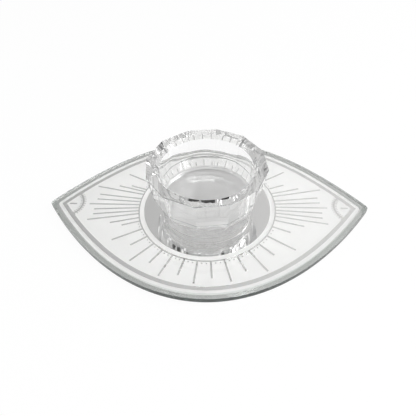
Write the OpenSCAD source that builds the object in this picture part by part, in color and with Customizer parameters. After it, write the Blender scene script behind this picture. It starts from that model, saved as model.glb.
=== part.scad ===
// Candle holder: a faceted crystal cup bonded onto an eye-shaped glass plate
// whose underside carries a mirror pattern over a white backing film.
// Millimetres, +Z up. The origin is the middle of the rest plane, +X runs tip to tip.

/* [Plate] */
// Length of the plate from tip to tip, before the tips are rounded
plate_l = 149; // [140:0.2:190]
// Width of the plate at its middle
plate_w = 100.2; // [92:0.2:125]
// Thickness of the glass
glass_t = 3; // [2.6:0.1:6]
// Height of the upright ground edge, from the underside of the glass
edge_h = 2.2; // [1:0.1:2.4]
// Width of the ground bevel, seen from above
bevel_w = 1.5; // [0.5:0.1:3]
// Radius that rounds each tip
tip_r = 2.2; // [0.5:0.1:4]
// Thickness of the silver under the glass
silver_t = 0.1; // [0.05:0.01:0.2]
// Thickness of the white backing film under the silver
backing_t = 0.2; // [0.1:0.05:0.6]
// Distance from the edge of the glass to the edge of the film
backing_inset = 0.4; // [0.2:0.1:1]

/* [Mirror disc and ring] */
// Radius of the mirror disc under the cup
iris_r = 29.4; // [24:0.1:31]
// Distance from the edge of the disc to the middle of the thin ring line round it
ring_gap = 2.4; // [1:0.1:4]
// Width of the ring line
ring_w = 0.6; // [0.3:0.1:0.8]

/* [Border line] */
// Distance from the edge of the glass to the middle of the border line
border_inset = 5.3; // [3:0.05:6]
// Width of the border line
border_w = 1.7; // [0.6:0.1:2]

/* [Rays] */
// Width of one ray
ray_w = 0.75; // [0.3:0.05:1]
// Least distance from the end of a ray to the border line
ray_gap = 1.2; // [0.8:0.1:3]
// Distance from the longest ray of a side fan to the serrations of the corner arc
fan_gap = 1.85; // [1:0.05:12]
// Length of the short rays of the sweep, from the ring line
short_ray_l = 8.1; // [4:0.1:9]
// Length of the long rays of the sweep, at the middle of the plate
long_ray_l = 10.8; // [9:0.1:12]
// Extra length of the long rays towards the tips of the plate
long_ray_gain = 4; // [0:0.1:5]
// Radius of one dot between the rays
dot_r = 0.3; // [0.15:0.05:0.4]
// Distance from the ring line to the middle of the dots
dot_gap = 1.1; // [0.8:0.1:2]

/* [Corner arcs] */
// Radius of the arc about each tip of the border line
arc_r = 8.9; // [6:0.1:11]
// Width of the arc's stroke
arc_w = 0.8; // [0.4:0.1:1]
// Length of one serration across the arc
tick_l = 2.6; // [1.6:0.1:3]
// Width of one serration
tick_w = 0.4; // [0.2:0.05:0.5]
// Length of the dash inside each arc
dash_l = 3.4; // [1.5:0.1:4]
// Width of the dash
dash_w = 0.8; // [0.4:0.1:1.2]
// Distance from the tip of the border line to the middle of the dash
dash_inset = 4.3; // [4:0.1:5.6]

/* [Cup] */
// Number of flat facets round the cup
facet_count = 12; // [8:1:12]
// Height of the cup from its foot to its rim
cup_h = 23.5; // [21:0.5:30]
// Wall between the bore and a corner of the faceted rim
rim_wall = 6.05; // [4:0.05:9]
// Wall between the bore and a corner of the edge under the tall facets
belly_wall = 3.95; // [3:0.05:6]
// Height of that edge above the foot
belly_h = 10.4; // [8:0.1:14]
// Wall between the bore and the round foot
foot_wall = 1.15; // [0.4:0.05:2.5]
// Height above the foot at which the corners of the lower bevels meet it
foot_h = 3.6; // [2:0.1:5]
// Diameter of the bore that takes a tealight
bore_d = 40.5; // [36:0.1:44]
// Thickness of the floor under the tealight
floor_t = 4.9; // [3:0.1:7]
// Radius of the fillet between floor and wall
floor_fillet_r = 1.5; // [0.5:0.1:3]
// Width and height of the polished chamfer inside the rim
rim_chamfer = 1.6; // [0.5:0.1:2]
// Turn of the cup's corners from the long axis, in degrees
cup_turn = 22.5; // [0:0.5:30]
// Thickness of the clear bond under the cup
bond_t = 0.15; // [0.05:0.05:0.4]
// Distance from the edge of the foot to the edge of the bond
bond_inset = 0.7; // [0.3:0.1:3]

/* [Bumper feet] */
// Height of one bumper foot
bumper_h = 2; // [1.2:0.1:5]
// Radius of the foot where it is stuck on
bumper_top_r = 4.8; // [3.5:0.1:7]
// Radius of the foot where it stands
bumper_low_r = 4.2; // [3:0.1:4.7]
// Radius that rounds the standing edge
bumper_edge_r = 0.6; // [0.2:0.1:1]
// Thickness of the adhesive disc above the foot
adhesive_t = 0.2; // [0.1:0.05:0.5]
// Distance from the rim of the foot to the rim of the adhesive
adhesive_inset = 0.3; // [0.1:0.1:1]
// Distance from a tip of the plate to the feet, along the plate
bumper_tip_inset = 33; // [25:0.5:45]
// Distance from the long edge of the plate to the feet
bumper_edge_inset = 14; // [9:0.5:18]

/* [Hidden] */

// Steps along each long side of the plate, and round a drawn circle
side_steps = 64;
circle_steps = 96;
// How far a cutter runs past the face that it opens
overrun = 1;

// Heights at which the layers start, from the rest plane up
adhesive_z = bumper_h;
backing_z = adhesive_z + adhesive_t;
silver_z = backing_z + backing_t;
glass_z = silver_z + silver_t;
bond_z = glass_z + glass_t;
cup_z = bond_z + bond_t;

// Middle and outer edge of the ring line
ring_r = iris_r + ring_gap;
ring_out_r = ring_r + ring_w / 2;

// Angle between a long side and the long axis at a tip
tip_angle = atan(2 * plate_w / plate_l);
// The tip of the border line, of its inner edge, and that edge's half width
border_tip_x = plate_l / 2 - border_inset / sin(tip_angle);
inner_tip_x = border_tip_x - border_w / 2 / sin(tip_angle);
inner_half_w = plate_w / 2 - border_inset - border_w / 2;

// Length of the longest ray of a side fan, from the ring line towards the corner arc
fan_ray_l = border_tip_x - arc_r - tick_l / 2 - fan_gap - ring_out_r;

// Turn of each ray of a side fan as a share of the fan's spread, front to back,
// and its length as a share of the longest ray
fan_spread_angle = 15.6;
fan_turn_shares = [-0.96, -0.67, -0.45, -0.23, 0, 0.23, 0.46, 0.81, 1.04];
fan_length_shares = [0.55, 0.98, 0.88, 0.88, 1, 0.88, 0.87, 1, 0.58];

// The rays that sweep from fan to fan along the front: the first one's angle, the
// step from ray to ray, and how much the step widens on the way
sweep_count = 15;
sweep_start_angle = 198.9;
sweep_step_angle = 8.98;
sweep_growth_angle = 0.066;
dots_per_gap = 2;

// Serrations of one corner arc, and the angle from one to the next
tick_count = 13;
tick_step_angle = 7.5;

// Radii of the cup: bore, round foot, and corners of the edge under the tall facets and of the rim
bore_r = bore_d / 2;
foot_r = bore_r + foot_wall;
belly_r = bore_r + belly_wall;
rim_r = bore_r + rim_wall;
// Height inside the lower bevels at which the foot's cylinder has vanished into them
foot_core_h = (foot_h + belly_h) / 2;
fillet_steps = 6;

// Half the width of the plate at a distance x from its middle
function half_width_at(x) = plate_w / 2 * (1 - pow(2 * x / plate_l, 2));

// Where the feet stand
bumper_x = plate_l / 2 - bumper_tip_inset;
bumper_y = half_width_at(bumper_x) - bumper_edge_inset;

// The two parabolas that bound the plate, as one closed outline
function lens_points() = [
    for (i = [0:side_steps]) let (x = plate_l * (i / side_steps - 1 / 2)) [x, half_width_at(x)],
    for (i = [1:side_steps - 1]) let (x = plate_l * (1 / 2 - i / side_steps)) [x, -half_width_at(x)],
];

// Distance from the middle to the border line's inner edge, in the direction of an angle
function reach(angle) =
    2 * inner_half_w
    / (abs(sin(angle)) + sqrt(pow(sin(angle), 2) + pow(2 * inner_half_w * cos(angle) / inner_tip_x, 2)));

function sweep_angle(i) = sweep_start_angle + sweep_step_angle * i + sweep_growth_angle * i * i;
function sweep_length(i) =
    i % 2 == 0 ? short_ray_l : long_ray_l + long_ray_gain * pow(cos(sweep_angle(i)), 2);

// Points of an arc about a centre, from one angle to another
function arc_points(centre, r, from, to, steps) = [
    for (i = [0:steps]) let (a = from + (to - from) * i / steps) centre + r * [cos(a), sin(a)],
];

// The plate's outline drawn in by a distance, with pointed tips
module pointed_outline(inset) {
    offset(delta = -inset) polygon(lens_points());
}

// The same outline with its tips rounded
module rounded_outline(inset) {
    offset(r = tip_r, $fn = circle_steps) pointed_outline(inset + tip_r);
}

module glass_plate() {
    color("#cfdcd8", 0.55)
        translate([0, 0, glass_z])
            hull() {
                linear_extrude(edge_h) rounded_outline(0);
                linear_extrude(glass_t) rounded_outline(bevel_w);
            }
}

module silver_iris() {
    color("#b0b4b4") translate([0, 0, silver_z]) cylinder(r = iris_r, h = silver_t, $fn = circle_steps);
}

// One ray from the ring line outwards, kept clear of the border line
module ray(angle, length) {
    ray_end = min(ring_out_r + length, reach(angle) - ray_gap);
    rotate(angle)
        polygon([[ring_r, -ray_w / 2], [ray_end, -ray_w / 2], [ray_end, ray_w / 2], [ring_r, ray_w / 2]]);
}

// The fan of rays that points at one tip of the plate
module fan(side) {
    for (i = [0:len(fan_turn_shares) - 1]) {
        turn = fan_spread_angle * fan_turn_shares[i];
        ray(side > 0 ? turn : 180 - turn, fan_ray_l * fan_length_shares[i]);
    }
}

// The short and long rays along the front, with their dots
module sweep() {
    for (i = [0:sweep_count - 1]) ray(sweep_angle(i), sweep_length(i));
    for (i = [0:sweep_count - 2], k = [1:dots_per_gap]) {
        share = k / (dots_per_gap + 1);
        rotate(sweep_angle(i) + share * (sweep_angle(i + 1) - sweep_angle(i)))
            translate([ring_r + dot_gap, 0]) circle(r = dot_r, $fn = 8);
    }
}

module silver_rays() {
    color("#b4b6b6")
        translate([0, 0, silver_z])
            linear_extrude(silver_t) {
                difference() {
                    circle(r = ring_out_r, $fn = circle_steps);
                    circle(r = ring_r - ring_w / 2, $fn = circle_steps);
                }
                for (side = [-1, 1]) fan(side);
                sweep();
                mirror([0, 1]) sweep();
            }
}

// The serrated arc about one tip of the border line
module corner_arc() {
    difference() {
        circle(r = arc_r + arc_w / 2, $fn = circle_steps);
        circle(r = arc_r - arc_w / 2, $fn = circle_steps);
    }
    for (i = [0:tick_count - 1])
        rotate(180 + tick_step_angle * (i - (tick_count - 1) / 2))
            translate([arc_r, 0]) square([tick_l, tick_w], center = true);
}

module silver_border() {
    color("#b4b6b6")
        translate([0, 0, silver_z])
            linear_extrude(silver_t) {
                difference() {
                    pointed_outline(border_inset - border_w / 2);
                    pointed_outline(border_inset + border_w / 2);
                }
                intersection() {
                    pointed_outline(border_inset);
                    for (turn = [0, 180]) rotate(turn) translate([border_tip_x, 0]) corner_arc();
                }
            }
}

module silver_dashes() {
    color("#b4b6b6")
        for (side = [-1, 1])
            translate([side * (border_tip_x - dash_inset) - dash_l / 2, -dash_w / 2, silver_z])
                cube([dash_l, dash_w, silver_t]);
}

module white_backing() {
    color("#f2f2f0") translate([0, 0, backing_z]) linear_extrude(backing_t) rounded_outline(backing_inset);
}

// Outside of the cup: a round foot, bevels that slope out of it, and the tall facets
module cup_body() {
    cylinder(r = foot_r, h = foot_core_h, $fn = circle_steps);
    translate([0, 0, foot_h])
        cylinder(r1 = foot_r, r2 = belly_r, h = belly_h - foot_h, $fn = facet_count);
    translate([0, 0, belly_h])
        cylinder(r1 = belly_r, r2 = rim_r, h = cup_h - belly_h, $fn = facet_count);
}

// Inside of the cup: flat floor, fillet, true bore and rim chamfer
module cup_cutter() {
    fillet_centre = [bore_r - floor_fillet_r, floor_t + floor_fillet_r];
    rotate_extrude($fn = circle_steps)
        polygon(concat(
            [[0, floor_t]],
            arc_points(fillet_centre, floor_fillet_r, -90, 0, fillet_steps),
            [
                [bore_r, cup_h - rim_chamfer],
                [bore_r + rim_chamfer, cup_h],
                [bore_r + rim_chamfer, cup_h + overrun],
                [0, cup_h + overrun],
            ]
        ));
}

module crystal_cup() {
    color("#e8eeee", 0.6)
        translate([0, 0, cup_z])
            rotate(cup_turn)
                difference() {
                    cup_body();
                    cup_cutter();
                }
}

module cup_bond() {
    color("#eef2f2", 0.6)
        translate([0, 0, bond_z]) cylinder(r = foot_r - bond_inset, h = bond_t, $fn = circle_steps);
}

// One foot, standing on its rounded edge and widening to where it is stuck on
module bumper(side_x, side_y) {
    edge_centre = [bumper_low_r - bumper_edge_r, bumper_edge_r];
    color("#e4e8e8", 0.7)
        translate([side_x * bumper_x, side_y * bumper_y, 0])
            rotate_extrude($fn = circle_steps)
                polygon(concat(
                    [[0, 0]],
                    arc_points(edge_centre, bumper_edge_r, -90, 0, fillet_steps),
                    [[bumper_top_r, bumper_h], [0, bumper_h]]
                ));
}

// The adhesive disc between one foot and the film
module adhesive(side_x, side_y) {
    color("#f0f0ee", 0.8)
        translate([side_x * bumper_x, side_y * bumper_y, adhesive_z])
            cylinder(r = bumper_top_r - adhesive_inset, h = adhesive_t, $fn = circle_steps);
}

module bumper_front_left() { bumper(-1, -1); }
module bumper_front_right() { bumper(1, -1); }
module bumper_back_left() { bumper(-1, 1); }
module bumper_back_right() { bumper(1, 1); }
module adhesive_front_left() { adhesive(-1, -1); }
module adhesive_front_right() { adhesive(1, -1); }
module adhesive_back_left() { adhesive(-1, 1); }
module adhesive_back_right() { adhesive(1, 1); }

glass_plate();
silver_iris();
silver_rays();
silver_border();
silver_dashes();
white_backing();
crystal_cup();
cup_bond();
bumper_front_left();
bumper_front_right();
bumper_back_left();
bumper_back_right();
adhesive_front_left();
adhesive_front_right();
adhesive_back_left();
adhesive_back_right();
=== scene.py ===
"""Looks of an eye-shaped mirror candle holder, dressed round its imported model.

The plate is clear float glass with a ground edge. Mirror silver and white lacquer lie on its underside, and
a cut crystal cup for a tealight is bonded to its middle. Everything is in metres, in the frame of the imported
model.
"""

import logging
import math
from dataclasses import dataclass, field
from enum import Enum
from typing import Any, Callable

import bpy
from mathutils import Matrix, Vector


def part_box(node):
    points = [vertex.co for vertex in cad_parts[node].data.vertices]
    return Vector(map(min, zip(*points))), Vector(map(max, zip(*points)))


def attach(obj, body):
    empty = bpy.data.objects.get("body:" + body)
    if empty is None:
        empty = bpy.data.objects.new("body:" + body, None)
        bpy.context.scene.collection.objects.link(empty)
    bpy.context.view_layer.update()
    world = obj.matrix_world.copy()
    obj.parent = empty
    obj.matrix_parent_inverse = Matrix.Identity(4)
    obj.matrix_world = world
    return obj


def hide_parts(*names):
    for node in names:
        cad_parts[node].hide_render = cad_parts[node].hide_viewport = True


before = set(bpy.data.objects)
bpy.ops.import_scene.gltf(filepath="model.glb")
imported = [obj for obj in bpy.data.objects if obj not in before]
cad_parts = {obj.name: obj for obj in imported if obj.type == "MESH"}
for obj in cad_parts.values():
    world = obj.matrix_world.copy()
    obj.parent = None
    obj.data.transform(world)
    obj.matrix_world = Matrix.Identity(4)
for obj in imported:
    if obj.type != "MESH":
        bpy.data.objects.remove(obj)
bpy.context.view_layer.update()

Tree = bpy.types.NodeTree
Socket = bpy.types.NodeSocket
Colour = tuple[float, float, float, float]

LOG = logging.getLogger("candle_holder")
MM = 0.001
BODY = "root"

# Mesh attributes that tell a material which surface it is on
GROUND_ATTRIBUTE = "ground"
MOULDED_ATTRIBUTE = "moulded"
ARRIS_ATTRIBUTE = "arris"

# Depths of light at which a render gives up, and what is seen there instead of black
LAST_BOUNCE = 13
LAST_REFLECTION = 5
ROOM_BRIGHTNESS = 0.78
DEEP_REFLECTION_BRIGHTNESS = 0.4

# A face whose normal points up or down by more than this counts as level
LEVEL_NORMAL_Z = 0.9

# How much further an even margin reaches along the plate at its pointed tips than across it
TIP_SLANT = 1.25


def linear(hex_colour: str) -> Colour:
    """Turns an sRGB hex colour into linear RGBA by the standard curve.

    Args:
        hex_colour: The colour as "#rrggbb".

    Returns:
        Linear red, green, blue and an alpha of 1.
    """
    toe, toe_slope, offset, power = 0.04045, 12.92, 0.055, 2.4
    channels = [int(hex_colour[i:i + 2], 16) / 255 for i in (1, 3, 5)]
    red, green, blue = (
        c / toe_slope if c <= toe else ((c + offset) / (1 + offset)) ** power for c in channels
    )
    return red, green, blue, 1.0


def add_node(
    tree: Tree,
    kind: str,
    settings: dict[str, Any] | None = None,
    inputs: dict[str | int, Any] | None = None,
) -> bpy.types.Node:
    """Adds one node with its settings, its values and its links.

    Args:
        tree: The tree that gets the node.
        kind: The node's type name.
        settings: Properties of the node.
        inputs: Input sockets by name or number, each with a value or with the output socket that feeds it.

    Returns:
        The new node.
    """
    node = tree.nodes.new(kind)
    for name, value in (settings or {}).items():
        setattr(node, name, value)
    for name, value in (inputs or {}).items():
        if isinstance(value, Socket):
            tree.links.new(value, node.inputs[name])
        else:
            node.inputs[name].default_value = value
    return node


def new_material(name: str) -> tuple[bpy.types.Material, Tree, bpy.types.Node]:
    """Makes an empty node material.

    Args:
        name: The material's name.

    Returns:
        The material, its tree and its output node.
    """
    material = bpy.data.materials.new(name)
    material.use_nodes = True
    material.node_tree.nodes.clear()
    output = add_node(material.node_tree, "ShaderNodeOutputMaterial")
    return material, material.node_tree, output


def deep_light(tree: Tree) -> Socket:
    """Finds where light has been thrown about inside the glass as often as a render follows it.

    Cut glass throws light to and fro many times. Where the render gives up it would show black, so the last
    surface that it meets gives the room's own brightness, as the real reflections would. Light that only goes
    to and fro by reflection grows dimmer.

    Args:
        tree: The tree that gets the nodes.

    Returns:
        The brightness to give off, which is 0 at every surface before the last.
    """
    path = add_node(tree, "ShaderNodeLightPath").outputs
    half_a_step = 0.5
    glows = []
    for depth, last, brightness in (
        (path["Ray Depth"], LAST_BOUNCE, ROOM_BRIGHTNESS),
        (path["Glossy Depth"], LAST_REFLECTION, DEEP_REFLECTION_BRIGHTNESS),
    ):
        reached = add_node(
            tree, "ShaderNodeMath", {"operation": "GREATER_THAN"}, {0: depth, 1: last - half_a_step}
        ).outputs[0]
        glow = add_node(tree, "ShaderNodeMath", {"operation": "MULTIPLY"}, {0: reached, 1: brightness})
        glows.append(glow.outputs[0])
    return add_node(tree, "ShaderNodeMath", {"operation": "MAXIMUM"}, dict(enumerate(glows))).outputs[0]


def let_lamps_through(tree: Tree, shader: bpy.types.Node, output: bpy.types.Node) -> None:
    """Ends a glass material so that the lamps light what lies under the glass.

    Args:
        tree: The material's tree.
        shader: The glass shader.
        output: The material's output node.
    """
    shadow = add_node(tree, "ShaderNodeLightPath").outputs["Is Shadow Ray"]
    clear = add_node(tree, "ShaderNodeBsdfTransparent")
    mixed = add_node(
        tree, "ShaderNodeMixShader", inputs={0: shadow, 1: shader.outputs["BSDF"], 2: clear.outputs["BSDF"]}
    )
    tree.links.new(mixed.outputs[0], output.inputs["Surface"])


@dataclass(frozen=True)
class FloatGlass:
    """Clear soda-lime float glass, fire polished on its faces and ground along its edge.

    The faces are as smooth as a lens. The ground band scatters what passes it, so it reads as a satin
    grey-green line, and its upright edge is tinted near black, a painted shade over the glass's own green.
    Its grit marks are drawn coarser than the real ones, which are too fine to show.
    """

    name: str = "float_glass_with_ground_edge"
    face_tint: str = "#ffffff"
    bevel_tint: str = "#d0d6d3"
    # painted shade: the upright ground edge is tinted near black, far darker than the glass's own green
    edge_green_and_painted_shade: str = "#0b110f"
    ior: float = 1.52
    ground_roughness: float = 0.25
    grit_mm: float = 0.35
    grit_depth_mm: float = 0.006

    def material(self) -> bpy.types.Material:
        """Builds the shader, with the ground band read from the mesh's own attribute.

        Returns:
            The material.
        """
        material, tree, output = new_material(self.name)
        ground = add_node(tree, "ShaderNodeAttribute", {"attribute_name": GROUND_ATTRIBUTE}).outputs["Fac"]
        touched = add_node(
            tree, "ShaderNodeMath", {"operation": "MINIMUM"}, {0: ground, 1: 1.0}
        ).outputs[0]
        upright = add_node(
            tree, "ShaderNodeMath", {"operation": "SUBTRACT", "use_clamp": True}, {0: ground, 1: 1.0}
        ).outputs[0]
        face_or_bevel = add_node(
            tree,
            "ShaderNodeMix",
            {"data_type": "RGBA"},
            {"Factor": touched, "A": linear(self.face_tint), "B": linear(self.bevel_tint)},
        )
        # the upright edge takes the near-black tint, a painted shade
        tint = add_node(
            tree,
            "ShaderNodeMix",
            {"data_type": "RGBA"},
            {"Factor": upright, "A": face_or_bevel.outputs[2], "B": linear(self.edge_green_and_painted_shade)},
        )
        roughness = add_node(
            tree, "ShaderNodeMath", {"operation": "MULTIPLY"}, {0: touched, 1: self.ground_roughness}
        )
        place = add_node(tree, "ShaderNodeTexCoord").outputs["Object"]
        grit = add_node(
            tree, "ShaderNodeTexNoise", inputs={"Vector": place, "Scale": 1 / (self.grit_mm * MM)}
        )
        relief = add_node(
            tree,
            "ShaderNodeBump",
            inputs={
                "Strength": touched,
                "Distance": self.grit_depth_mm * MM,
                "Height": grit.outputs["Fac"],
            },
        )
        shader = add_node(
            tree,
            "ShaderNodeBsdfPrincipled",
            inputs={
                "Base Color": tint.outputs[2],
                "Roughness": roughness.outputs[0],
                "IOR": self.ior,
                "Transmission Weight": 1.0,
                "Normal": relief.outputs["Normal"],
                "Emission Strength": deep_light(tree),
            },
        )
        let_lamps_through(tree, shader, output)
        return material


@dataclass(frozen=True)
class CutCrystal:
    """Lead-free optical crystal, pressed, then cut and polished outside.

    The facets are as flat as a lens, and their level cut edges are tinted dark, a painted shade for the fine
    dark lines that refraction draws there. The pressed bore is a little wavy, so what shows through it swims,
    and its floor is faintly satin, so it reads as an even pale disc.
    """

    name: str = "optical_crystal_cut_and_polished"
    tint: str = "#fefefe"
    # painted shade: level cut edges are tinted dark where refraction draws dark lines
    arris_painted_shade: str = "#484d4c"
    ior: float = 1.52
    wave_mm: float = 12.0
    wave_flattening: float = 2.0
    wave_depth_mm: float = 0.25
    floor_roughness: float = 0.3

    def material(self) -> bpy.types.Material:
        """Builds the clear dielectric, with the bore and the cut edges read from the mesh's own attributes.

        Returns:
            The material.
        """
        material, tree, output = new_material(self.name)
        moulded = add_node(
            tree, "ShaderNodeAttribute", {"attribute_name": MOULDED_ATTRIBUTE}
        ).outputs["Fac"]
        pressed = add_node(
            tree, "ShaderNodeMath", {"operation": "MINIMUM"}, {0: moulded, 1: 1.0}
        ).outputs[0]
        satin = add_node(
            tree, "ShaderNodeMath", {"operation": "SUBTRACT", "use_clamp": True}, {0: moulded, 1: 1.0}
        ).outputs[0]
        roughness = add_node(
            tree, "ShaderNodeMath", {"operation": "MULTIPLY"}, {0: satin, 1: self.floor_roughness}
        )
        # the marked cut edges take the dark tint, a painted shade
        arris = add_node(tree, "ShaderNodeAttribute", {"attribute_name": ARRIS_ATTRIBUTE}).outputs["Fac"]
        tint = add_node(
            tree,
            "ShaderNodeMix",
            {"data_type": "RGBA"},
            {"Factor": arris, "A": linear(self.tint), "B": linear(self.arris_painted_shade)},
        )
        place = add_node(tree, "ShaderNodeTexCoord").outputs["Object"]
        flattened = add_node(
            tree, "ShaderNodeMapping", inputs={"Vector": place, "Scale": (1.0, 1.0, self.wave_flattening)}
        ).outputs["Vector"]
        waves = add_node(
            tree,
            "ShaderNodeTexNoise",
            inputs={"Vector": flattened, "Scale": 1 / (self.wave_mm * MM), "Detail": 0.0},
        )
        relief = add_node(
            tree,
            "ShaderNodeBump",
            inputs={
                "Strength": pressed,
                "Distance": self.wave_depth_mm * MM,
                "Height": waves.outputs["Fac"],
            },
        )
        shader = add_node(
            tree,
            "ShaderNodeBsdfPrincipled",
            inputs={
                "Base Color": tint.outputs[2],
                "Roughness": roughness.outputs[0],
                "IOR": self.ior,
                "Transmission Weight": 1.0,
                "Normal": relief.outputs["Normal"],
                "Emission Strength": deep_light(tree),
            },
        )
        let_lamps_through(tree, shader, output)
        return material


@dataclass(frozen=True)
class MirrorSilver:
    """Chemically deposited silver seen through the glass: a grey mirror with a trace of haze."""

    name: str = "mirror_silver_on_glass"
    tint: str = "#f6f6f5"
    roughness: float = 0.02
    roughness_spread: float = 0.5
    haze_mm: float = 25.0
    haze_detail: float = 3.0

    def material(self) -> bpy.types.Material:
        """Builds a metal whose haze varies slowly over a few centimetres.

        Returns:
            The material.
        """
        material, tree, output = new_material(self.name)
        place = add_node(tree, "ShaderNodeTexCoord").outputs["Object"]
        haze = add_node(
            tree,
            "ShaderNodeTexNoise",
            inputs={"Vector": place, "Scale": 1 / (self.haze_mm * MM), "Detail": self.haze_detail},
        )
        roughness = add_node(
            tree,
            "ShaderNodeMapRange",
            inputs={
                "Value": haze.outputs["Fac"],
                "To Min": self.roughness * (1 - self.roughness_spread),
                "To Max": self.roughness * (1 + self.roughness_spread),
            },
        )
        shader = add_node(
            tree,
            "ShaderNodeBsdfPrincipled",
            inputs={
                "Base Color": linear(self.tint),
                "Metallic": 1.0,
                "Roughness": roughness.outputs["Result"],
            },
        )
        tree.links.new(shader.outputs["BSDF"], output.inputs["Surface"])
        return material


@dataclass(frozen=True)
class WhiteLacquer:
    """White backing lacquer, sprayed on: matt, with a faint cloudiness of a few millimetres."""

    name: str = "white_backing_lacquer"
    light: str = "#f4f4f3"
    dark: str = "#efefee"
    roughness: float = 0.75
    cloud_mm: float = 6.0
    cloud_detail: float = 4.0

    def material(self) -> bpy.types.Material:
        """Builds the matt white with its cloudiness.

        Returns:
            The material.
        """
        material, tree, output = new_material(self.name)
        place = add_node(tree, "ShaderNodeTexCoord").outputs["Object"]
        cloud = add_node(
            tree,
            "ShaderNodeTexNoise",
            inputs={"Vector": place, "Scale": 1 / (self.cloud_mm * MM), "Detail": self.cloud_detail},
        )
        tint = add_node(
            tree,
            "ShaderNodeMix",
            {"data_type": "RGBA"},
            {"Factor": cloud.outputs["Fac"], "A": linear(self.dark), "B": linear(self.light)},
        )
        shader = add_node(
            tree,
            "ShaderNodeBsdfPrincipled",
            inputs={"Base Color": tint.outputs[2], "Roughness": self.roughness},
        )
        tree.links.new(shader.outputs["BSDF"], output.inputs["Surface"])
        return material


@dataclass(frozen=True)
class ClearPolymer:
    """Clear cured adhesive or cast polyurethane, told apart by name, tint and gloss.

    A fine unevenness breaks its gloss, so it looks soft beside the glass. It is drawn coarser than the real
    one, which is too fine to show.
    """

    name: str
    tint: str
    roughness: float
    ior: float = 1.5
    grain_mm: float = 1.11
    grain_depth_mm: float = 0.02
    grain_strength: float = 0.3

    def material(self) -> bpy.types.Material:
        """Builds the clear polymer.

        Returns:
            The material.
        """
        material, tree, output = new_material(self.name)
        place = add_node(tree, "ShaderNodeTexCoord").outputs["Object"]
        grain = add_node(
            tree, "ShaderNodeTexNoise", inputs={"Vector": place, "Scale": 1 / (self.grain_mm * MM)}
        )
        relief = add_node(
            tree,
            "ShaderNodeBump",
            inputs={
                "Strength": self.grain_strength,
                "Distance": self.grain_depth_mm * MM,
                "Height": grain.outputs["Fac"],
            },
        )
        shader = add_node(
            tree,
            "ShaderNodeBsdfPrincipled",
            inputs={
                "Base Color": linear(self.tint),
                "Roughness": self.roughness,
                "IOR": self.ior,
                "Transmission Weight": 1.0,
                "Normal": relief.outputs["Normal"],
                "Emission Strength": deep_light(tree),
            },
        )
        let_lamps_through(tree, shader, output)
        return material


def deselect_all() -> None:
    """Clears the selection."""
    bpy.ops.object.select_all(action="DESELECT")


def make_active(piece: bpy.types.Object) -> None:
    """Selects one object alone and makes it the active one.

    Args:
        piece: The object.
    """
    deselect_all()
    piece.select_set(True)
    bpy.context.view_layer.objects.active = piece


def edit(piece: bpy.types.Object, steps: Callable[[], Any]) -> None:
    """Runs operators on a piece in edit mode.

    Args:
        piece: The piece to edit.
        steps: A function that calls the operators.
    """
    make_active(piece)
    bpy.ops.object.mode_set(mode="EDIT")
    steps()
    bpy.ops.object.mode_set(mode="OBJECT")


def select_faces(piece: bpy.types.Object, wanted: Callable[[bpy.types.MeshPolygon], bool]) -> None:
    """Selects the faces that a test picks, and nothing else, ready for edit mode.

    Args:
        piece: The piece whose faces are tested.
        wanted: The test for one face.
    """

    def clear() -> None:
        """Works on faces, with none selected."""
        bpy.ops.mesh.select_mode(type="FACE")
        bpy.ops.mesh.select_all(action="DESELECT")

    edit(piece, clear)
    for face in piece.data.polygons:
        face.select = wanted(face)


def apply_modifier(piece: bpy.types.Object, kind: str, **settings: Any) -> None:
    """Adds one modifier and applies it.

    Args:
        piece: The piece that gets the modifier.
        kind: The modifier's type name.
        **settings: The modifier's properties.
    """
    make_active(piece)
    modifier = piece.modifiers.new(kind.lower(), kind)
    for name, value in settings.items():
        setattr(modifier, name, value)
    bpy.ops.object.modifier_apply(modifier=modifier.name)


def smooth(piece: bpy.types.Object, angle: float) -> None:
    """Shades a piece smooth wherever it bends by less than an angle.

    Args:
        piece: The piece.
        angle: The angle in radians.
    """
    make_active(piece)
    bpy.ops.object.shade_smooth_by_angle(angle=angle)


def add_cylinder(
    sides: int, radius: float, low: float, height: float, turn: float = 0.0
) -> bpy.types.Object:
    """Adds an upright cylinder on the cup's axis.

    Args:
        sides: How many sides it has.
        radius: Its radius over the corners.
        low: The height of its foot.
        height: Its length.
        turn: How far it is turned about its axis, in radians.

    Returns:
        The cylinder, with its place and turn in its mesh.
    """
    deselect_all()
    bpy.ops.mesh.primitive_cylinder_add(
        vertices=sides, radius=radius, depth=height, location=(0, 0, low + height / 2), rotation=(0, 0, turn)
    )
    bpy.ops.object.transform_apply(location=True, rotation=True, scale=True)
    return bpy.context.object


def combine(piece: bpy.types.Object, operation: str, tool: bpy.types.Object) -> None:
    """Joins or cuts a piece with another, which is then removed.

    Args:
        piece: The piece that is changed.
        operation: The boolean's type name.
        tool: The piece that is joined on or cut away.
    """
    apply_modifier(piece, "BOOLEAN", operation=operation, solver="EXACT", object=tool)
    bpy.data.objects.remove(tool)


def merged_copy(node: str, name: str) -> bpy.types.Object:
    """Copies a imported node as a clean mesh, with its triangles merged into true faces.

    Args:
        node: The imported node.
        name: The new piece's name.

    Returns:
        The new piece, at the origin, with no material.
    """
    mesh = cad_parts[node].data.copy()
    mesh.materials.clear()
    piece = bpy.data.objects.new(name, mesh)
    bpy.context.scene.collection.objects.link(piece)
    merge_distance = 0.002 * MM
    flat_angle = math.radians(0.2)

    def clean() -> None:
        """Merges corners that meet and faces that lie flat together."""
        bpy.ops.mesh.customdata_custom_splitnormals_clear()
        bpy.ops.mesh.select_all(action="SELECT")
        bpy.ops.mesh.remove_doubles(threshold=merge_distance)
        bpy.ops.mesh.dissolve_limited(angle_limit=flat_angle)

    edit(piece, clean)
    return piece


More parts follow.
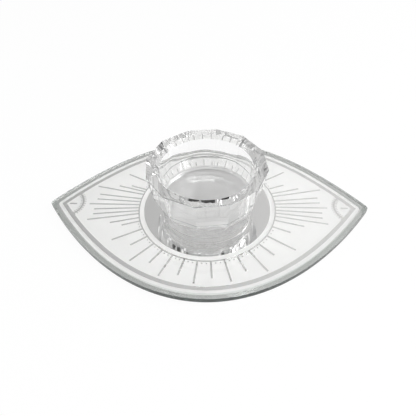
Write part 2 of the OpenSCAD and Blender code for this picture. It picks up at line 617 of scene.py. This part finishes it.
def dress(piece: bpy.types.Object, material: bpy.types.Material, slot: str, *nodes: str) -> None:
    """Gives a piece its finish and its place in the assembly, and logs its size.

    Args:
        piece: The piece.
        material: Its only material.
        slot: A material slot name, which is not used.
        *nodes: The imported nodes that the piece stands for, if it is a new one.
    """
    piece.data.materials.clear()
    piece.data.materials.append(material)
    if nodes:
        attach(piece, BODY)
        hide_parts(*nodes)
    size = ", ".join(f"{side / MM:.1f}" for side in piece.dimensions)
    LOG.info("%s: %d faces, %s mm, %s", piece.name, len(piece.data.polygons), size, material.name)


@dataclass
class GlassPlate:
    """The eye-shaped float glass with its ground bevel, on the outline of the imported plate."""

    finish: FloatGlass = field(default_factory=FloatGlass)
    coating_bite: float = 0.02 * MM
    bevel_gain: float = 0.5 * MM
    arris: float = 0.12 * MM
    arris_segments: int = 2
    arris_angle: float = math.radians(20)
    smooth_angle: float = math.radians(9)
    polished_normal_z: float = 0.999
    edge_normal_z: float = 0.6

    def build(self) -> None:
        """Shapes the plate, marks its ground band and dresses it."""
        piece = merged_copy("glass_plate", "float_glass_plate")
        self.seat_coatings(piece)
        self.widen_bevel(piece)
        apply_modifier(
            piece,
            "BEVEL",
            width=self.arris,
            segments=self.arris_segments,
            limit_method="ANGLE",
            angle_limit=self.arris_angle,
        )
        self.mark_ground_band(piece)
        smooth(piece, self.smooth_angle)
        dress(piece, self.finish.material(), "plate_glass", "glass_plate")

    def seat_coatings(self, piece: bpy.types.Object) -> None:
        """Lowers the underside a hair past the lacquer's face, so no film of air parts glass and coatings.

        Args:
            piece: The plate.
        """
        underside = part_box("glass_plate")[0].z
        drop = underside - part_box("white_backing")[1].z + self.coating_bite
        select_faces(piece, lambda face: face.normal.z < -self.polished_normal_z)
        edit(piece, lambda: bpy.ops.transform.translate(value=(0, 0, -drop)))

    def widen_bevel(self, piece: bpy.types.Object) -> None:
        """Draws the polished top face in, as hand grinding leaves the bevel wider than its drawn size.

        Args:
            piece: The plate.
        """
        select_faces(piece, lambda face: face.normal.z > self.polished_normal_z)
        corners = piece.data.vertices
        top = [corners[i].co for face in piece.data.polygons if face.select for i in face.vertices]
        half_length = max(corner.x for corner in top)
        half_width = max(corner.y for corner in top)
        shrink = (1 - TIP_SLANT * self.bevel_gain / half_length, 1 - self.bevel_gain / half_width, 1)
        edit(piece, lambda: bpy.ops.transform.resize(value=shrink, center_override=(0, 0, 0)))

    def mark_ground_band(self, piece: bpy.types.Object) -> None:
        """Writes 0 on the polished faces, 1 on the ground bevel and 2 on the upright ground edge, which is
        tinted with a painted shade.

        Args:
            piece: The plate.
        """
        ground = piece.data.attributes.new(GROUND_ATTRIBUTE, "FLOAT", "FACE")
        for face in piece.data.polygons:
            level = abs(face.normal.z)
            steps = (level < self.polished_normal_z, level < self.edge_normal_z)
            ground.data[face.index].value = float(sum(steps))


@dataclass
class Coatings:
    """Silver pattern and white lacquer under the plate, with the bare silver margin under its bevel."""

    silver: MirrorSilver = field(default_factory=MirrorSilver)
    lacquer: WhiteLacquer = field(default_factory=WhiteLacquer)
    margin_out: float = 0.1 * MM
    margin_in: float = 2.8 * MM

    def build(self) -> None:
        """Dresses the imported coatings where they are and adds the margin."""
        silver = self.silver.material()
        for node in ("silver_iris", "silver_rays", "silver_border", "silver_dashes"):
            dress(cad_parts[node], silver, "silvering")
        dress(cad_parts["white_backing"], self.lacquer.material(), "white_film")
        margin = self.margin()
        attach(margin, BODY)
        dress(margin, silver, "silvering")

    def margin(self) -> bpy.types.Object:
        """Shapes the thin silver band that shows through the bevel, from the lacquer's outline.

        Returns:
            The band, a closed ring as thick as the silver.
        """
        piece = merged_copy("white_backing", "silver_margin")
        low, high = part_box("silver_border")
        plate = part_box("glass_plate")[1]
        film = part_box("white_backing")[1]
        outer = (plate.x - TIP_SLANT * self.margin_out, plate.y - self.margin_out)
        inner = (plate.x - TIP_SLANT * self.margin_in, plate.y - self.margin_in)
        grow = (outer[0] / film.x, outer[1] / film.y, 1)
        shrink = (inner[0] / outer[0], inner[1] / outer[1], 1)
        select_faces(piece, lambda face: face.normal.z < LEVEL_NORMAL_Z)

        def ring() -> None:
            """Widens the top face's outline, draws a second one inside it and thickens the band."""
            bpy.ops.mesh.delete(type="FACE")
            bpy.ops.mesh.select_mode(type="EDGE")
            bpy.ops.mesh.select_all(action="SELECT")
            bpy.ops.mesh.delete(type="ONLY_FACE")
            bpy.ops.mesh.select_all(action="SELECT")
            bpy.ops.transform.resize(value=grow, center_override=(0, 0, 0))
            bpy.ops.mesh.extrude_edges_move(TRANSFORM_OT_translate={"value": (0, 0, 0)})
            bpy.ops.transform.resize(value=shrink, center_override=(0, 0, 0))
            bpy.ops.mesh.select_all(action="SELECT")
            bpy.ops.mesh.extrude_region_move(TRANSFORM_OT_translate={"value": (0, 0, high.z - low.z)})
            bpy.ops.mesh.select_all(action="SELECT")
            bpy.ops.mesh.normals_make_consistent(inside=False)

        edit(piece, ring)
        return piece


@dataclass
class CupBond:
    """The clear glue under the cup, which wets both glasses, so no film of air is left between them."""

    finish: ClearPolymer = ClearPolymer("clear_uv_adhesive", "#fdfdfd", roughness=0.0, ior=1.52)
    wetting: float = 0.01 * MM
    smooth_angle: float = math.radians(30)

    def build(self) -> None:
        """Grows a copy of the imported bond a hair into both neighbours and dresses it."""
        piece = merged_copy("cup_bond", "clear_cup_bond")
        for side in (-1, 1):
            select_faces(piece, lambda face: face.normal.z * side > LEVEL_NORMAL_Z)
            edit(piece, lambda: bpy.ops.transform.translate(value=(0, 0, side * self.wetting)))
        smooth(piece, self.smooth_angle)
        dress(piece, self.finish.material(), "clear_bond", "cup_bond")


@dataclass
class CrystalCup:
    """The cut cup: round foot, lower bevels, tall facets, and a round bore with a polished chamfer.

    One corner lies at corner_angle from +X. A new cylinder has its first corner at new_corner_angle.
    """

    finish: CutCrystal = field(default_factory=CutCrystal)
    facets: int = 12
    corner_angle: float = math.radians(22.5)
    new_corner_angle: float = math.radians(90)
    rim_wall: float = 6.05 * MM
    belly_wall: float = 3.95 * MM
    foot_wall: float = 1.15 * MM
    belly_height: float = 10.4 * MM
    foot_height: float = 3.6 * MM
    bore_radius: float = 20.25 * MM
    floor_thickness: float = 4.9 * MM
    fillet: float = 1.5 * MM
    chamfer: float = 1.6 * MM
    facet_edge: float = 0.14 * MM
    edge_angle: float = math.radians(12)
    round_steps: int = 192
    fillet_steps: int = 12
    smooth_angle: float = math.radians(8.5)
    overrun: float = 1.0 * MM
    tolerance: float = 0.1 * MM
    strip_widths: float = 2.1
    strip_rise: float = 0.5 * MM

    def __post_init__(self) -> None:
        """Takes the cup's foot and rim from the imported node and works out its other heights."""
        low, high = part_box("crystal_cup")
        self.foot_z = low.z
        self.rim_z = high.z
        self.belly_z = self.foot_z + self.belly_height
        self.floor_z = self.foot_z + self.floor_thickness

    def build(self) -> None:
        """Shapes the cup and dresses it."""
        piece = self.faceted_blank()
        apply_modifier(
            piece,
            "BEVEL",
            width=self.facet_edge,
            segments=1,
            limit_method="ANGLE",
            angle_limit=self.edge_angle,
        )
        self.join_foot(piece)
        self.cut_bore(piece)
        self.mark_surfaces(piece)
        smooth(piece, self.smooth_angle)
        dress(piece, self.finish.material(), "crystal", "crystal_cup")

    def faceted_blank(self) -> bpy.types.Object:
        """Draws the tall facets from the rim down, then the lower bevels below them.

        Returns:
            A closed blank from the bevels' lower corners to the rim.
        """
        rim_radius = self.bore_radius + self.rim_wall
        belly_radius = self.bore_radius + self.belly_wall
        foot_radius = self.bore_radius + self.foot_wall
        tall = self.rim_z - self.belly_z
        turn = self.corner_angle - self.new_corner_angle
        piece = add_cylinder(self.facets, rim_radius, self.belly_z, tall, turn)
        piece.name = "cut_crystal_cup"
        shrink_to_belly = belly_radius / rim_radius
        shrink_to_foot = foot_radius / belly_radius
        bevel_drop = self.foot_height - self.belly_height
        select_faces(piece, lambda face: face.normal.z < -LEVEL_NORMAL_Z)

        def taper() -> None:
            """Draws the lower end in to the belly, then down and in to the foot."""
            bpy.ops.transform.resize(value=(shrink_to_belly, shrink_to_belly, 1))
            bpy.ops.mesh.extrude_region_move(TRANSFORM_OT_translate={"value": (0, 0, bevel_drop)})
            bpy.ops.transform.resize(value=(shrink_to_foot, shrink_to_foot, 1))

        edit(piece, taper)
        return piece

    def join_foot(self, piece: bpy.types.Object) -> None:
        """Joins the round foot, which runs up inside until the bevels have swallowed it.

        Args:
            piece: The faceted blank.
        """
        height = (self.foot_height + self.belly_height) / 2
        foot = add_cylinder(self.round_steps, self.bore_radius + self.foot_wall, self.foot_z, height)
        combine(piece, "UNION", foot)

    def cut_bore(self, piece: bpy.types.Object) -> None:
        """Cuts the bore with its filleted floor and the chamfer inside the rim.

        Args:
            piece: The cup's body.
        """
        wall = self.rim_z - self.chamfer - self.floor_z
        cutter = add_cylinder(self.round_steps, self.bore_radius, self.floor_z, wall)
        spread = (self.bore_radius + self.chamfer) / self.bore_radius

        def add_chamfer_and_mouth() -> None:
            """Widens the cutter's upper end along the chamfer and carries it on past the rim."""
            bpy.ops.mesh.extrude_region_move(TRANSFORM_OT_translate={"value": (0, 0, self.chamfer)})
            bpy.ops.transform.resize(value=(spread, spread, 1))
            bpy.ops.mesh.extrude_region_move(TRANSFORM_OT_translate={"value": (0, 0, self.overrun)})

        def round_floor() -> None:
            """Rounds the cutter's lower edge."""
            bpy.ops.mesh.bevel(offset=self.fillet, segments=self.fillet_steps, affect="EDGES")

        select_faces(cutter, lambda face: face.normal.z > LEVEL_NORMAL_Z)
        edit(cutter, add_chamfer_and_mouth)
        select_faces(cutter, lambda face: face.normal.z < -LEVEL_NORMAL_Z)
        edit(cutter, round_floor)
        combine(piece, "DIFFERENCE", cutter)

    def mark_surfaces(self, piece: bpy.types.Object) -> None:
        """Writes 1 on the bore's wall and chamfer and 2 on its floor, and marks level strips of cut edges for
        a painted shade.

        A strip is a face about as narrow as a cut edge that rises by next to nothing. Upright ones stay
        clear of the painted shade, since the eye sees no dark line there.

        Args:
            piece: The shaped cup.
        """
        moulded = piece.data.attributes.new(MOULDED_ATTRIBUTE, "FLOAT", "FACE")
        arris = piece.data.attributes.new(ARRIS_ATTRIBUTE, "FLOAT", "FACE")
        mouth_radius = self.bore_radius + self.chamfer + self.tolerance
        fillet_z = self.floor_z + self.fillet + self.tolerance
        for face in piece.data.polygons:
            corners = [piece.data.vertices[i].co for i in face.vertices]
            reach = max(math.hypot(corner.x, corner.y) for corner in corners)
            top = max(corner.z for corner in corners)
            rise = top - min(corner.z for corner in corners)
            inside = reach < mouth_radius and face.center.z > self.floor_z - self.tolerance
            on_rim = face.normal.z > LEVEL_NORMAL_Z and top > self.rim_z - self.tolerance
            if inside and not on_rim:
                moulded.data[face.index].value = 1.0 + float(top < fillet_z)
            else:
                longest = max((a - b).length for a, b in zip(corners, corners[1:] + corners[:1]))
                narrow = face.area < self.strip_widths * self.facet_edge * longest
                # level strips of cut edges are marked for the dark tint, a painted shade
                arris.data[face.index].value = float(narrow and rise < self.strip_rise)


class Corner(Enum):
    """The four places under the plate where a foot is stuck on."""

    FRONT_LEFT = "front_left"
    FRONT_RIGHT = "front_right"
    BACK_LEFT = "back_left"
    BACK_RIGHT = "back_right"


@dataclass
class BumperFeet:
    """Clear cast polyurethane feet with their adhesive discs."""

    rubber: ClearPolymer = ClearPolymer("clear_cast_polyurethane", "#eef2f1", roughness=0.12)
    tape: ClearPolymer = ClearPolymer("clear_acrylic_adhesive", "#f2f2ee", roughness=0.25)
    smooth_angle: float = math.radians(25)

    def build(self) -> None:
        """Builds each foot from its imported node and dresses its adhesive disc."""
        rubber = self.rubber.material()
        tape = self.tape.material()
        for corner in Corner:
            foot = merged_copy(f"bumper_{corner.value}", f"polyurethane_foot_{corner.value}")
            smooth(foot, self.smooth_angle)
            dress(foot, rubber, "clear_bumper", f"bumper_{corner.value}")
            dress(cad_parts[f"adhesive_{corner.value}"], tape, "clear_bond")


@dataclass(frozen=True)
class Softbox:
    """One rectangular lamp that faces the object, with its place and size in metres."""

    name: str
    place: tuple[float, float, float]
    size: tuple[float, float]
    watts: float

    def hang(self) -> None:
        """Puts the lamp in the scene."""
        lamp = bpy.data.lights.new(self.name, "AREA")
        lamp.shape = "RECTANGLE"
        lamp.size, lamp.size_y = self.size
        lamp.energy = self.watts
        holder = bpy.data.objects.new(self.name, lamp)
        holder.location = self.place
        holder.rotation_euler = (-Vector(self.place)).to_track_quat("-Z", "Y").to_euler()
        bpy.context.scene.collection.objects.link(holder)


@dataclass
class Studio:
    """Pale floor, soft lamps, even surround and the camera at the photograph's angle.

    The camera's azimuth, elevation and roll are in degrees, and every length but the lens is in metres.
    """

    azimuth: float = 2.91
    elevation: float = 45.60
    roll: float = -1.03
    distance: float = 178.3 * MM
    aim: tuple[float, float, float] = (0.36 * MM, -0.71 * MM, 3.26 * MM)
    lens: float = 32.84
    clip_start: float = 0.01
    floor_half: float = 3.0
    floor_colour: str = "#f6f6f6"
    floor_glow: float = 0.94
    surround: str = "#fdfefe"
    surround_strength: float = 0.55
    card_left: str = "#9e9f9f"
    card_right: str = "#e8e7e7"
    card_fade: float = 0.45
    card_size: tuple[float, float] = (1.8, 1.0)
    card_place: tuple[float, float, float] = (0.0, 0.75, 0.78)
    flag_colour: str = "#202020"
    flag_size: tuple[float, float] = (1.0, 0.34)
    flag_distance: float = 0.4
    lamps: tuple[Softbox, ...] = (
        Softbox("top_softbox", place=(0.12, -0.4, 0.82), size=(0.9, 0.75), watts=3.1),
        Softbox("right_softbox", place=(0.85, -0.15, 0.45), size=(0.6, 0.5), watts=5.6),
    )

    def build(self) -> None:
        """Sets the stage, the light and the camera."""
        self.add_floor()
        self.add_surround()
        self.add_card()
        self.add_flag()
        for lamp in self.lamps:
            lamp.hang()
        self.add_camera()

    def towards_camera(self) -> Vector:
        """Works out the direction from the object to the camera.

        Returns:
            The direction, one unit long.
        """
        turn, rise = math.radians(self.azimuth), math.radians(self.elevation)
        return Vector((math.sin(turn) * math.cos(rise), -math.cos(turn) * math.cos(rise), math.sin(rise)))

    def add_floor(self) -> None:
        """Lays a pale floor that looks white to the camera and still takes the shadow."""
        deselect_all()
        bpy.ops.mesh.primitive_plane_add(size=2 * self.floor_half, location=(0, 0, 0))
        floor = bpy.context.object
        floor.name = "pale_floor"
        material, tree, output = new_material("pale_studio_floor")
        path = add_node(tree, "ShaderNodeLightPath").outputs
        seen = path["Is Camera Ray"]
        for other in ("Is Glossy Ray", "Is Transmission Ray"):
            seen = add_node(
                tree, "ShaderNodeMath", {"operation": "ADD", "use_clamp": True}, {0: seen, 1: path[other]}
            ).outputs[0]
        share = add_node(tree, "ShaderNodeMath", {"operation": "MULTIPLY"}, {0: seen, 1: self.floor_glow})
        paint = add_node(tree, "ShaderNodeBsdfDiffuse", inputs={"Color": linear(self.floor_colour)})
        glow = add_node(tree, "ShaderNodeEmission", inputs={"Color": linear("#ffffff"), "Strength": 1.0})
        mixed = add_node(
            tree,
            "ShaderNodeMixShader",
            inputs={0: share.outputs[0], 1: paint.outputs[0], 2: glow.outputs[0]},
        )
        tree.links.new(mixed.outputs[0], output.inputs["Surface"])
        floor.data.materials.append(material)

    def add_surround(self) -> None:
        """Fills the room with an even pale light, in front of which the camera sees white."""
        world = bpy.data.worlds.new("studio_surround")
        world.use_nodes = True
        tree = world.node_tree
        tree.nodes.clear()
        seen = add_node(tree, "ShaderNodeLightPath").outputs["Is Camera Ray"]
        strength = add_node(
            tree,
            "ShaderNodeMix",
            {"data_type": "FLOAT"},
            {"Factor": seen, "A": self.surround_strength, "B": 1.0},
        )
        background = add_node(
            tree,
            "ShaderNodeBackground",
            inputs={"Color": linear(self.surround), "Strength": strength.outputs[0]},
        )
        add_node(tree, "ShaderNodeOutputWorld", inputs={"Surface": background.outputs[0]})
        bpy.context.scene.world = world

    def add_panel(
        self, name: str, place: Vector, size: tuple[float, float], material: bpy.types.Material
    ) -> bpy.types.Object:
        """Hangs a flat panel that faces the object and that the camera itself does not see.

        Args:
            name: The panel's name.
            place: Where it hangs.
            size: Its width and height.
            material: Its only material.

        Returns:
            The panel.
        """
        deselect_all()
        bpy.ops.mesh.primitive_plane_add(size=1, location=place)
        panel = bpy.context.object
        panel.name = name
        panel.scale = (*size, 1)
        panel.rotation_euler = place.to_track_quat("Z", "Y").to_euler()
        panel.data.materials.append(material)
        panel.visible_camera = False
        return panel

    def add_card(self) -> None:
        """Hangs the card that the silver reflects to the camera, grey on the left and paler on the right."""
        material, tree, output = new_material("grey_studio_card")
        place = add_node(tree, "ShaderNodeTexCoord").outputs["Object"]
        across = add_node(tree, "ShaderNodeSeparateXYZ", inputs={0: place}).outputs["X"]
        share = add_node(
            tree,
            "ShaderNodeMapRange",
            inputs={"Value": across, "From Min": self.card_fade, "From Max": -self.card_fade},
        )
        tone = add_node(
            tree,
            "ShaderNodeMix",
            {"data_type": "RGBA"},
            {"Factor": share.outputs["Result"], "A": linear(self.card_left), "B": linear(self.card_right)},
        )
        glow = add_node(tree, "ShaderNodeEmission", inputs={"Color": tone.outputs[2], "Strength": 1.0})
        tree.links.new(glow.outputs[0], output.inputs["Surface"])
        self.add_panel("grey_card", Vector(self.card_place), self.card_size, material)

    def add_flag(self) -> None:
        """Stands a dark flag behind the camera, which gives the cut crystal its small dark accents."""
        material, tree, output = new_material("dark_flag_cloth")
        glow = add_node(
            tree, "ShaderNodeEmission", inputs={"Color": linear(self.flag_colour), "Strength": 1.0}
        )
        tree.links.new(glow.outputs[0], output.inputs["Surface"])
        place = self.towards_camera() * self.flag_distance
        flag = self.add_panel("dark_flag", place, self.flag_size, material)
        flag.visible_diffuse = False
        flag.visible_shadow = False

    def add_camera(self) -> None:
        """Puts the camera where the photograph was taken from."""
        turn, tilt = math.radians(self.azimuth), math.radians(self.roll)
        back = self.towards_camera()
        level = Vector((math.cos(turn), math.sin(turn), 0))
        upright = back.cross(level)
        right = math.cos(tilt) * level + math.sin(tilt) * upright
        up = math.cos(tilt) * upright - math.sin(tilt) * level
        camera = bpy.data.cameras.new("photo_camera")
        camera.lens = self.lens
        camera.clip_start = self.clip_start
        holder = bpy.data.objects.new("photo_camera", camera)
        holder.matrix_world = Matrix.LocRotScale(
            Vector(self.aim) + back * self.distance, Matrix((right, up, back)).transposed(), None
        )
        bpy.context.scene.collection.objects.link(holder)
        bpy.context.scene.camera = holder


def main() -> None:
    """Builds the stage and every sub-assembly in order."""
    logging.basicConfig(level=logging.INFO, format="%(message)s")
    bpy.context.scene.view_settings.view_transform = "Standard"
    Studio().build()
    GlassPlate().build()
    Coatings().build()
    CupBond().build()
    CrystalCup().build()
    BumperFeet().build()


if __name__ == "__main__":
    main()
